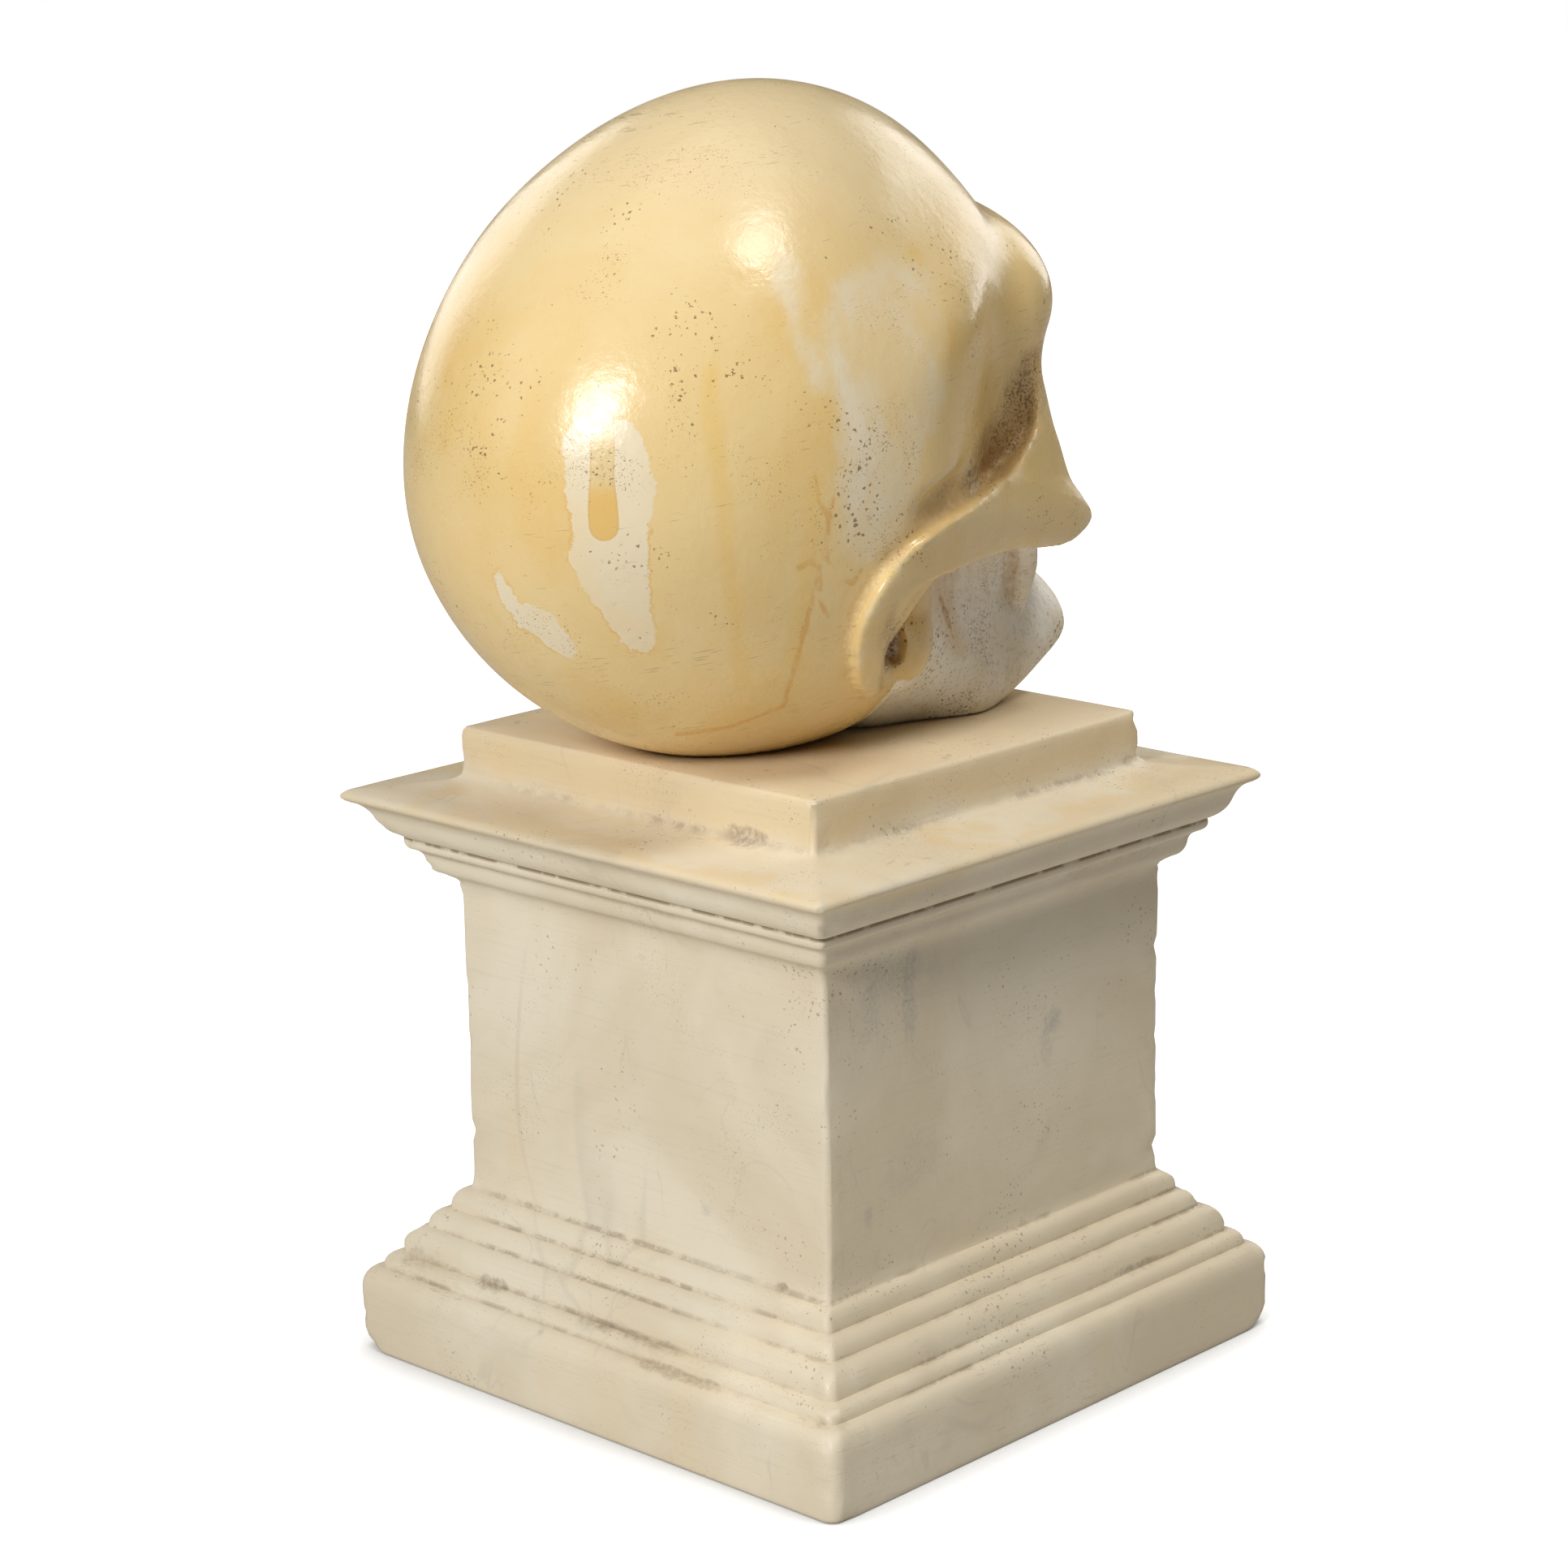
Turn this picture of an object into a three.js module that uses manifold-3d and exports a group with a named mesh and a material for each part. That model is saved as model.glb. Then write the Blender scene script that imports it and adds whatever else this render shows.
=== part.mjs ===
// A carved marble skull without its lower jaw, looking up over a square moulded plinth.
// Millimetres, +Z up. The origin is the centre of the plinth's underside and the skull faces -Y.
import * as THREE from "three";
import Module from "manifold-3d";
import { mergeVertices } from "three/addons/utils/BufferGeometryUtils.js";

const wasm = await Module();
wasm.setup();

// The plinth's outline, as half-widths and heights. It is straight up to each height named here
// and rounded in between.
const SLAB = { half: 79.6, edge: 1.6, straightTo: 15.9 };
const DADO = { half: 59.1, straightTo: 114.4 };
const BLOCK = { half: 57.3, edge: 0.9, top: 155.9 };

// One row for each rounded moulding: the corner it swells towards, then the crease it ends at.
const BASE_MOULDINGS = [
  [79.4, 20.6, 75.6, 21.1], [75.4, 24.2, 72.1, 24.6], [72.0, 30.2, 67.4, 31.2],
  [67.2, 35.0, 63.3, 35.6], [63.2, 40.1, 59.9, 40.6], [59.2, 41.4, 59.1, 43.9],
];
const CORNICE_MOULDINGS = [
  [59.6, 119.3, 63.3, 120.5], [64.7, 121.3, 65.1, 124.0], [65.5, 125.9, 67.7, 126.5],
  [69.0, 127.2, 68.5, 129.3], [71.6, 130.2, 72.8, 133.6], [74.0, 137.4, 76.6, 138.1],
  [78.6, 139.8, 76.4, 141.1],
];
const CORNICE_SLOPE_END = [59.4, 143.1];
const BLOCK_FILLET = [57.4, 143.6, 57.3, 145.6];
const MOULDING_STEPS = 4;

// The skull is drawn in its own frame, level, then tipped back to look up. It lies on the block
// with a flat seat, GAP above the stone.
const GAP = 0.3;
const FACE_TILT = THREE.MathUtils.degToRad(20);
const SKULL_CENTRE = new THREE.Vector3(0, 18, 229.4);
const SEAT_BOX = 300;

// The vault's half sizes from its middle, and how far it tips beyond the face. Each loss is the
// share of its width that goes, growing over a stretch forwards and a stretch up or down.
const VAULT = { across: 65.8, back: 91.3, front: 68.1, up: 68.2, down: 84.1 };
const VAULT_TILT = THREE.MathUtils.degToRad(5.6);
const VAULT_MIDDLE = [0, -2.3, 7.6];
const VAULT_SEGMENTS = [48, 32];
const FOREHEAD = { loss: 0.19, forwards: [-30, 46], upwards: [7, 38], bulge: 0.065 };
const TEMPLE = { loss: 0.3, forwards: [-16, 36], downwards: [-20, 16] };
const UNDERSIDE = { loss: 0.42, forwards: [-28, 6], downwards: [28, 56] };

// Level sections of the upper jaw: height, half-width, front and back.
const JAW_SECTIONS = [
  [-88, 26, -66, 4], [-84, 30, -71, 6], [-78, 32, -72, 8], [-70, 31, -67, 10],
  [-62, 32, -66, 14], [-50, 33, -68, 18], [-34, 35, -67, 20], [-20, 37, -67, 20],
];
const JAW_SQUARENESS = 0.86;
const JAW_SIDES = 28;

// Raised bars on the left, mirrored to the right: points on the centre line, each followed by
// the bar's half-thickness and half-height there.
const ARCH = [
  [44.5, -46, -43, 5, 6.5], [46.5, -38, -33.5, 5, 12.5], [49.5, -27, -31, 5, 9.5],
  [53.5, -14, -27, 4.6, 7.2], [56, -2, -24.8, 4.6, 6], [57.8, 8.5, -22.4, 4.4, 5.4],
  [57.8, 18.5, -21.5, 4.2, 5], [56.2, 24.5, -23.5, 4.2, 4.6], [53.5, 29.5, -29.5, 4, 4.2],
  [50.3, 31.3, -36, 4, 4], [45.5, 29, -44.5, 4, 4], [38.5, 25, -53, 3.5, 3.5],
];
const ORBIT_RIM = [
  [43.5, -54, 3, 4.5, 5], [46.5, -47, -3, 4.4, 5], [47, -42.5, -12, 4.2, 5],
  [47, -42.5, -24, 4.6, 5.5], [46, -45, -36, 5, 6],
];
const LOWER_RIM = [
  [45, -46.5, -41, 5, 6], [35, -55, -42, 5, 6], [24, -61, -40, 5, 6], [13, -65, -33, 5, 6],
];
const BAR_SIDES = 10;
const BAR_STEPS = 12;

// Rounded lumps that are added or hollowed out, on the left or in the middle.
const CHEEK = { at: [44.5, -46, -42.5], size: [6.5, 8.5, 7] };
const CHEEK_ROOT = { at: [30, -50, -46], size: [15, 12, 13] };
const ORBIT_WALL = { at: [37, -40, -20], size: [10.5, 13, 26] };
const FRONTAL = { at: [0, -46.9, 9.1], size: [51.6, 30.3, 26.6] };
const NASAL_BONE = { at: [0, -68, -22], size: [9, 13, 18] };
const ORBIT = { at: [30, -60, -20], size: [18.5, 28, 16.5] };
const NOSTRIL = { at: [5.5, -65, -55], size: [7, 16, 12] };
const NOSE_TOP = { at: [0, -68, -44], size: [7, 16, 11] };
const LUMP_SEGMENTS = [20, 13];

// three.js geometry to a solid that can be joined and cut.
function solid(geometry) {
  geometry.deleteAttribute("normal");
  geometry.deleteAttribute("uv");
  const merged = mergeVertices(geometry, 1e-4);
  return new wasm.Manifold(new wasm.Mesh({
    numProp: 3,
    vertProperties: new Float32Array(merged.attributes.position.array),
    triVerts: new Uint32Array(merged.index.array),
  }));
}

// A solid back to a named mesh.
function mesh(body, name, color, roughness) {
  const { vertProperties, triVerts } = body.getMesh();
  const geometry = new THREE.BufferGeometry();
  geometry.setAttribute("position", new THREE.BufferAttribute(vertProperties, 3));
  geometry.setIndex(new THREE.BufferAttribute(triVerts, 1));
  geometry.computeVertexNormals();
  const material = new THREE.MeshStandardMaterial({ color, roughness, metalness: 0 });
  const made = new THREE.Mesh(geometry, material);
  made.name = name;
  return made;
}

function lump({ at: [x, y, z], size }, side = 1) {
  const sphere = new THREE.SphereGeometry(1, ...LUMP_SEGMENTS).rotateX(Math.PI / 2);
  return solid(sphere.scale(...size).translate(side * x, y, z));
}

// A bar of oval section whose thickness and height change along its centre line.
function bar(rows, side) {
  const line = new THREE.CatmullRomCurve3(
    rows.map(([x, y, z]) => new THREE.Vector3(side * x, y, z)),
  );
  const section = new THREE.CatmullRomCurve3(
    rows.map(([, , , thick, high]) => new THREE.Vector3(thick, high, 0)),
  );
  const rod = new THREE.CylinderGeometry(1, 1, 1, BAR_SIDES, BAR_STEPS);
  const { position } = rod.attributes;
  for (let i = 0; i < position.count; i += 1) {
    const along = position.getY(i) + 0.5;
    const point = line.getPoint(along);
    const tangent = line.getTangent(along);
    const size = section.getPoint(along);
    const outward = new THREE.Vector3(point.x, point.y, 0).normalize();
    outward.addScaledVector(tangent, -outward.dot(tangent)).normalize();
    const upward = new THREE.Vector3().crossVectors(tangent, outward);
    point.addScaledVector(upward, position.getX(i) * size.y);
    point.addScaledVector(outward, position.getZ(i) * size.x);
    position.setXYZ(i, point.x, point.y, point.z);
  }
  return solid(rod);
}

// The upper jaw is a stack of rounded sections, shaped from an upright cylinder.
function jaw() {
  const last = JAW_SECTIONS.length - 1;
  const column = new THREE.CylinderGeometry(1, 1, 1, JAW_SIDES, last).rotateX(Math.PI / 2);
  const squarer = (value) => Math.sign(value) * Math.abs(value) ** JAW_SQUARENESS;
  const { position } = column.attributes;
  for (let i = 0; i < position.count; i += 1) {
    const row = Math.round((position.getZ(i) + 0.5) * last);
    const [height, half, front, back] = JAW_SECTIONS[row];
    const angle = Math.atan2(position.getY(i), position.getX(i));
    const reach = Math.hypot(position.getX(i), position.getY(i));
    const x = reach * half * squarer(Math.cos(angle));
    const y = (front + back) / 2 + reach * ((back - front) / 2) * squarer(Math.sin(angle));
    position.setXYZ(i, x, y, height);
  }
  return solid(column);
}

// The vault is an egg with a full back, narrowed at the forehead, the temples and underneath.
function vault() {
  const { smoothstep } = THREE.MathUtils;
  const egg = new THREE.SphereGeometry(1, ...VAULT_SEGMENTS).rotateX(Math.PI / 2);
  const { position } = egg.attributes;
  for (let i = 0; i < position.count; i += 1) {
    const x = position.getX(i) * VAULT.across;
    const y = position.getY(i) * (position.getY(i) < 0 ? VAULT.front : VAULT.back);
    const z = position.getZ(i) * (position.getZ(i) < 0 ? VAULT.down : VAULT.up);
    const high = smoothstep(z, ...FOREHEAD.upwards);
    const forehead = smoothstep(-y, ...FOREHEAD.forwards) * high;
    const temple = smoothstep(-y, ...TEMPLE.forwards) * smoothstep(-z, ...TEMPLE.downwards);
    const under = smoothstep(-y, ...UNDERSIDE.forwards) * smoothstep(-z, ...UNDERSIDE.downwards);
    const kept = (1 - FOREHEAD.loss * forehead) * (1 - TEMPLE.loss * temple);
    const bulge = y < 0 ? 1 + FOREHEAD.bulge * high : 1;
    position.setXYZ(i, x * kept * (1 - UNDERSIDE.loss * under), y * bulge, z);
  }
  return solid(egg.rotateX(-VAULT_TILT).translate(...VAULT_MIDDLE));
}

function skull() {
  let stone = vault().add(jaw()).add(lump(FRONTAL)).add(lump(NASAL_BONE));
  for (const side of [-1, 1]) {
    for (const part of [CHEEK, CHEEK_ROOT, ORBIT_WALL]) stone = stone.add(lump(part, side));
    for (const rows of [LOWER_RIM, ORBIT_RIM, ARCH]) stone = stone.add(bar(rows, side));
  }
  for (const side of [-1, 1]) {
    stone = stone.subtract(lump(ORBIT, side)).subtract(lump(NOSTRIL, side));
  }
  const tip = new THREE.Matrix4().makeRotationX(-FACE_TILT).setPosition(SKULL_CENTRE);
  const below = new THREE.BoxGeometry(SEAT_BOX, SEAT_BOX, SEAT_BOX);
  below.translate(0, 0, BLOCK.top + GAP - SEAT_BOX / 2);
  return stone.subtract(lump(NOSE_TOP)).transform(tip.toArray()).subtract(solid(below));
}

// A lathe with four sides turns the outline into a square shaft with mitred mouldings.
function plinth() {
  const outline = new THREE.Path();
  outline.moveTo(0, 0).lineTo(SLAB.half - SLAB.edge, 0).lineTo(SLAB.half, SLAB.edge);
  outline.lineTo(SLAB.half, SLAB.straightTo);
  for (const row of BASE_MOULDINGS) outline.quadraticCurveTo(...row);
  outline.lineTo(DADO.half, DADO.straightTo);
  for (const row of CORNICE_MOULDINGS) outline.quadraticCurveTo(...row);
  outline.lineTo(...CORNICE_SLOPE_END).quadraticCurveTo(...BLOCK_FILLET);
  outline.lineTo(BLOCK.half, BLOCK.top - BLOCK.edge).lineTo(BLOCK.half - BLOCK.edge, BLOCK.top);
  outline.lineTo(0, BLOCK.top);
  const corners = outline.getPoints(MOULDING_STEPS).map(
    (point) => new THREE.Vector2(point.x * Math.SQRT2, point.y),
  );
  return solid(new THREE.LatheGeometry(corners, 4, Math.PI / 4).rotateX(Math.PI / 2));
}

const sculpture = new THREE.Group();
sculpture.name = "skull_sculpture";
sculpture.add(mesh(plinth(), "plinth", 0xd9d2c1, 0.45));
sculpture.add(mesh(skull(), "skull", 0xdfbf86, 0.3));

export default sculpture;
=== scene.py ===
import math

import bpy
import numpy as np
from mathutils import Matrix, Vector, noise


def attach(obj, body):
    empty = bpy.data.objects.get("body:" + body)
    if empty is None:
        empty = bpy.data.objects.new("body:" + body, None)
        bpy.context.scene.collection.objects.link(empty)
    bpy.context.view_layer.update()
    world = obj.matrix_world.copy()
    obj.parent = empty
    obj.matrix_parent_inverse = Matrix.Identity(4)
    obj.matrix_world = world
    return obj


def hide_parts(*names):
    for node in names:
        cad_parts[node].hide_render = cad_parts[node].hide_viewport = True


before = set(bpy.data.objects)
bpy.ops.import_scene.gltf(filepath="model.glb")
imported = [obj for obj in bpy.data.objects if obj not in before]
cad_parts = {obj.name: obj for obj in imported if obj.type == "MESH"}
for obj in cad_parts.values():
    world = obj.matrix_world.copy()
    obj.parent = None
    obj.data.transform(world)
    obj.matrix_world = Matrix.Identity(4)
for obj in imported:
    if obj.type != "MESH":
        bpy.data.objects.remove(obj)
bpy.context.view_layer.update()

# The camera.
# It stands behind the skull and to its right, a little above, as the photograph's does. Its place
# and lens were worked out from the plinth's corners.
CAMERA_PLACE = (-0.6139, 0.6504, 0.3625)
CAMERA_AZIMUTH = math.radians(223.70)
CAMERA_ELEVATION = math.radians(13.98)
CAMERA_ROLL = math.radians(-1.05)
CAMERA_LENS = 88.85

camera = bpy.data.objects.new("camera", bpy.data.cameras.new("camera"))
bpy.context.scene.collection.objects.link(camera)
bpy.context.scene.camera = camera
camera.data.lens = CAMERA_LENS
camera.data.sensor_width = 36
camera.data.clip_end = 100
backwards = Vector((
    math.sin(CAMERA_AZIMUTH) * math.cos(CAMERA_ELEVATION),
    -math.cos(CAMERA_AZIMUTH) * math.cos(CAMERA_ELEVATION),
    math.sin(CAMERA_ELEVATION),
))
level = Vector((0, 0, 1)).cross(backwards).normalized()
upright = backwards.cross(level)
turned = Matrix.Rotation(CAMERA_ROLL, 3, backwards)
axes = Matrix((turned @ level, turned @ upright, backwards)).transposed()
camera.matrix_world = Matrix.Translation(CAMERA_PLACE) @ axes.to_4x4()

# The plinth.
# One block of pale marble, carved as a square pedestal: slab, base mouldings, plain dado, cornice
# and a top block. Its arrises are worn round, its creases hold dirt, and it stands on its slab.
MM = 0.001
SLAB_HALF = 79.6
SLAB_STRAIGHT_TO = 15.9
DADO_HALF = 59.3
DADO_STRAIGHT_TO = 114.4
BLOCK_TOP = 155.9
# Each moulding swells towards a corner and ends at a crease: half-width and height of both.
BASE_MOULDINGS = (
    (79.4, 20.6, 75.6, 21.1), (75.4, 24.2, 72.1, 24.6), (72.0, 30.2, 67.4, 31.2),
    (67.2, 35.0, 63.3, 35.6), (63.2, 40.1, 59.9, 40.6), (59.4, 41.4, 59.3, 43.9),
)
CORNICE_MOULDINGS = (
    (59.6, 119.3, 63.3, 120.5), (64.7, 121.3, 65.1, 124.0), (65.5, 125.9, 67.7, 126.5),
    (69.0, 127.2, 68.5, 129.3), (71.6, 130.2, 72.8, 133.6), (74.0, 137.4, 76.6, 138.1),
    (79.6, 139.6, 76.4, 141.1),
)
CORNICE_SLOPE = (
    (70.5, 141.7), (65.0, 142.3), (60.6, 142.85), (58.8, 143.3), (57.7, 144.1),
    (57.4, 145.4), (57.3, 147.9), (57.3, 150.9), (57.3, 153.7), (57.15, 154.9),
    (56.7, 155.65), (56.0, BLOCK_TOP), (49.0, BLOCK_TOP),
)
# The carver's block isn't true: how far the outline lies towards +X and +Y at each height.
LEAN_HEIGHTS = (0, 37, 47, 113, 121, 135, 140, 145, 156)
LEAN = (0, 0, -0.35, -0.4, 0.15, 0.35, 0.8, 0.9, 0.9)
# How far each upright corner is rounded at each height, the three that show and the hidden one.
ROUND_HEIGHTS = (0, 0.8, 2, 5, 15, 21, 25, 41, 113, 125, 140.4, 143.4, 155.9)
CORNER_ROUND = (
    (10, 8.5, 6.5, 4.2, 3.4, 3.4, 2.6, 1.6, 1.5, 2.0, 0.9, 1.6, 2.0),
    (4.0, 3.6, 3.4, 3.4, 3.8, 3.4, 2.4, 1.6, 1.5, 2.0, 1.3, 1.6, 1.6),
    (11, 9.0, 6.5, 3.6, 3.4, 3.4, 2.6, 1.6, 1.5, 2.0, 2.4, 1.8, 2.2),
    (5.0, 4.6, 4.2, 3.8, 3.4, 3.2, 2.6, 1.6, 1.5, 2.0, 1.4, 1.8, 2.2),
)
MOULDING_STEPS = 7
FLAT_STEPS = 46
CORNER_STEPS = 10


def ramp(value, low, high):
    """0 below low, 1 above high, and smooth between them."""
    share = np.clip((value - low) / (high - low), 0, 1)
    return share * share * (3 - 2 * share)


def stacked(name, rings):
    """A closed mesh of rings in millimetres, each extruded from the one before."""
    count, sides = rings.shape[:2]
    bpy.ops.object.select_all(action="DESELECT")
    bpy.ops.mesh.primitive_circle_add(vertices=sides, radius=1, fill_type="NGON")
    made = bpy.context.object
    made.name = name
    bpy.ops.object.mode_set(mode="EDIT")
    for _ in range(count - 1):
        bpy.ops.mesh.extrude_region_move(TRANSFORM_OT_translate={"value": (0, 0, 1)})
    bpy.ops.object.mode_set(mode="OBJECT")
    points = np.empty(len(made.data.vertices) * 3)
    made.data.vertices.foreach_get("co", points)
    points = points.reshape(-1, 3)
    turn = np.arctan2(points[:, 1], points[:, 0]) / (2 * np.pi) * sides
    across = np.rint(turn).astype(int) % sides
    upwards = np.rint(points[:, 2]).astype(int)
    made.data.vertices.foreach_set("co", rings[upwards, across].ravel())
    bpy.ops.object.mode_set(mode="EDIT")
    bpy.ops.mesh.select_all(action="SELECT")
    bpy.ops.mesh.normals_make_consistent(inside=False)
    bpy.ops.object.mode_set(mode="OBJECT")
    return made


def outline():
    """The plinth's outline from the bottom to the top, as rows of half-width and height."""
    rows = [(SLAB_HALF - 0.8, 0.0), (SLAB_HALF - 0.35, 0.2), (SLAB_HALF - 0.08, 0.7)]
    rows += [(SLAB_HALF, height) for height in np.linspace(1.6, SLAB_STRAIGHT_TO, 9)]
    for mouldings in (BASE_MOULDINGS, CORNICE_MOULDINGS):
        for row in mouldings:
            start, corner, end = np.array(rows[-1]), np.array(row[:2]), np.array(row[2:])
            for share in np.linspace(0, 1, MOULDING_STEPS + 1)[1:]:
                bend = (1 - share) ** 2 * start + 2 * share * (1 - share) * corner
                rows.append(tuple(bend + share ** 2 * end))
        if mouldings is BASE_MOULDINGS:
            steps = np.linspace(rows[-1][1], DADO_STRAIGHT_TO, 26)[1:]
            rows += [(DADO_HALF, height) for height in steps]
    return np.array(rows + list(CORNICE_SLOPE))


rows = outline()
flat = np.linspace(-1, 1, FLAT_STEPS, endpoint=False)
bend = np.linspace(0, np.pi / 2, CORNER_STEPS, endpoint=False)
rings = []
for half, height in rows:
    radii = [np.interp(height, ROUND_HEIGHTS, rounds) for rounds in CORNER_ROUND]
    ring = []
    for turn, radius in enumerate(radii):
        start, end = radii[turn - 1] - half, half - radius
        right = np.stack([np.full(FLAT_STEPS, half), (end - start) * flat / 2 + (end + start) / 2], 1)
        corner = np.stack([end + radius * np.cos(bend), end + radius * np.sin(bend)], 1)
        cos, sin = round(math.cos(turn * math.pi / 2)), round(math.sin(turn * math.pi / 2))
        ring.append(np.concatenate([right, corner]) @ np.array([[cos, sin], [-sin, cos]]))
    ring = np.concatenate(ring) + np.interp(height, LEAN_HEIGHTS, LEAN)
    rings.append(np.column_stack([ring, np.full(len(ring), height)]))
plinth = stacked("plinth_marble", np.array(rings))

# Wear and small irregularities of hand carving, as moves of the plinth's points in millimetres.
SLOW_WEAR = 0.22
QUICK_WEAR = 0.1
CHIP_DEPTH = 1.7


def from_arris(points):
    """How far each point lies from the nearest upright corner, as a number of 0 or less."""
    across = np.abs(points[:, :2])
    return across.min(1) - across.max(1)


points = np.empty(len(plinth.data.vertices) * 3)
plinth.data.vertices.foreach_get("co", points)
points = points.reshape(-1, 3)
out = np.sign(points[:, :2]) * (np.abs(points[:, :2]) > 20)
near_corner = ramp(from_arris(points), -9, -1.5)
for i, (x, y, z) in enumerate(points):
    place = Vector((x, y, z))
    slow = noise.noise(place / 34)
    quick = noise.noise(place / 7 + Vector((9, 4, 2)))
    points[i, :2] -= out[i] * (SLOW_WEAR * slow + QUICK_WEAR * quick) * min(1, z / 4)
    chip = max(0, noise.noise(place / 4.5 + Vector((3, 1, 7))) - 0.16)
    points[i, :2] -= out[i] * CHIP_DEPTH * chip * near_corner[i]
plinth.data.vertices.foreach_set("co", points.ravel())
plinth.location = (0, 0, 0)
plinth.scale = (MM, MM, MM)
bpy.ops.object.transform_apply(location=True, rotation=True, scale=True)
bpy.ops.object.shade_smooth_by_angle(angle=math.radians(50))


def painted(piece, name, values):
    """Keeps one number for each point of the piece, for its material to read."""
    piece.data.attributes.new(name, "FLOAT", "POINT").data.foreach_set("value", values.ravel())


def node(tree, kind, **sockets):
    """A shader node: values and links by socket name, and its own settings by their names."""
    made = tree.nodes.new("ShaderNode" + kind)
    for name, value in sockets.items():
        if name.islower():
            setattr(made, name, value)
    for name, value in sockets.items():
        if name.islower():
            continue
        key = int(name[1:]) if name[1:].isdigit() else name.replace("_", " ")
        if isinstance(value, bpy.types.NodeSocket):
            tree.links.new(value, made.inputs[key])
        else:
            made.inputs[key].default_value = value
    return made


def maths(tree, operation, *values):
    """The sum, product or the like of numbers and sockets."""
    sockets = {f"I{number}": value for number, value in enumerate(values)}
    return node(tree, "Math", operation=operation, **sockets).outputs[0]


def product(tree, first, *others):
    """All of the numbers multiplied."""
    for other in others:
        first = maths(tree, "MULTIPLY", first, other)
    return first


def largest(tree, first, *others):
    """The largest of the numbers."""
    for other in others:
        first = maths(tree, "MAXIMUM", first, other)
    return first


def shifted(tree, value, other, strength):
    """A number with a share of another added to it."""
    return maths(tree, "ADD", value, product(tree, other, strength))


def band(tree, value, low, high, start=0, end=1):
    """start below low, end above high, and smooth between them."""
    spread = node(tree, "MapRange", interpolation_type="SMOOTHSTEP", Value=value,
                  From_Min=low, From_Max=high, To_Min=start, To_Max=end)
    return spread.outputs["Result"]


def tint(tree, share, under, over):
    """The colour over laid on the colour under by a share."""
    mix = node(tree, "Mix", data_type="RGBA", I0=share, I6=under, I7=over)
    return mix.outputs[2]


def washed(tree, under, over, share, strength=1):
    """The colour under with the colour over laid on it by a share, weakened to a strength."""
    if strength != 1:
        share = product(tree, share, strength)
    return tint(tree, share, under, over)


def cloudy(tree, place, scale, detail=4, rough=0.55, twist=0):
    """Soft clouds around a half."""
    noise_node = node(tree, "TexNoise", Vector=place, Scale=scale, Detail=detail,
                      Roughness=rough, Distortion=twist)
    return noise_node.outputs["Fac"]


def around_nothing(tree, clouds, reach):
    """Clouds moved to lie around 0, as far as half the reach to either side."""
    return product(tree, maths(tree, "SUBTRACT", clouds, 0.5), reach)


def stretched(tree, place, scale, turn=(0, 0, 0)):
    """The place, stretched or turned by a Mapping node."""
    return node(tree, "Mapping", Vector=place, Scale=scale, Rotation=turn).outputs["Vector"]


def read(tree, name):
    """The numbers that painted() kept."""
    return node(tree, "Attribute", attribute_name=name).outputs["Fac"]


def effect(name, inputs, outputs):
    """A new node group, with its inputs and outputs as dictionaries of socket types."""
    group = bpy.data.node_groups.new(name, "ShaderNodeTree")
    for socket, kind in inputs.items():
        group.interface.new_socket(socket, in_out="INPUT", socket_type="NodeSocket" + kind)
    for socket, kind in outputs.items():
        group.interface.new_socket(socket, in_out="OUTPUT", socket_type="NodeSocket" + kind)
    return group, group.nodes.new("NodeGroupInput").outputs, group.nodes.new("NodeGroupOutput")


def placed(tree, group, **sockets):
    """A node group set in a material."""
    made = tree.nodes.new("ShaderNodeGroup")
    made.node_tree = group
    for name, value in sockets.items():
        if isinstance(value, bpy.types.NodeSocket):
            tree.links.new(value, made.inputs[name])
        else:
            made.inputs[name].default_value = value
    return made.outputs


# Small dark pits in clusters, as old polished stone has. Amount is how many there are.
PIT_RUFFLE = 1.2 * MM
PIT_SIZES = ((1900, 3.1), (800, 7.7))
pitting, given, result = effect(
    "stone_pits", {"Vector": "Vector", "Amount": "Float"}, {"Pits": "Float"})
ruffle = node(pitting, "TexNoise", Vector=given["Vector"], Scale=1900, Detail=1).outputs["Color"]
ruffle = node(pitting, "VectorMath", operation="SUBTRACT", I0=ruffle, I1=(0.5, 0.5, 0.5)).outputs[0]
ruffled = node(pitting, "VectorMath", operation="MULTIPLY_ADD", I0=ruffle, I1=(PIT_RUFFLE,) * 3,
               I2=given["Vector"]).outputs[0]
found = []
for scale, seed in PIT_SIZES:
    cells = node(pitting, "TexVoronoi", Vector=ruffled, Scale=scale, Randomness=1)
    turned_place = stretched(pitting, given["Vector"], (1, 1, 1), (seed, 0, seed))
    crowd = band(pitting, cloudy(pitting, turned_place, 38, 2, 0.65), 0.38, 0.72)
    reach = product(pitting, crowd, given["Amount"], cells.outputs["Color"])
    depth = maths(pitting, "SUBTRACT", reach, cells.outputs["Distance"])
    found.append(band(pitting, depth, 0.0, 0.08))
pitting.links.new(largest(pitting, *found), result.inputs["Pits"])

# What the outline does at each height: creases hold dirt, swelling edges are rubbed pale.
CREASE_REACH = 0.8
steps = np.diff(rows, axis=0)
steps /= np.linalg.norm(steps, axis=1)[:, None]
turned_by = np.concatenate([[0], steps[:-1, 0] * steps[1:, 1] - steps[:-1, 1] * steps[1:, 0], [0]])
run = np.concatenate([[0], np.cumsum(np.linalg.norm(np.diff(rows, axis=0), axis=1))])
reached = np.exp(-((run[:, None] - run[None]) / CREASE_REACH) ** 2)
crease = (reached * np.maximum(0, -turned_by)).sum(1)
ridge = (reached * np.maximum(0, turned_by)).sum(1)
level_of = np.argmin(np.abs(points[:, None, 2] - rows[None, :, 1])
                     + 0.02 * np.abs(np.abs(points[:, None, :2]).max(2) - rows[None, :, 0]), 1)
painted(plinth, "crease", np.clip(crease[level_of], 0, 1))
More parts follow.
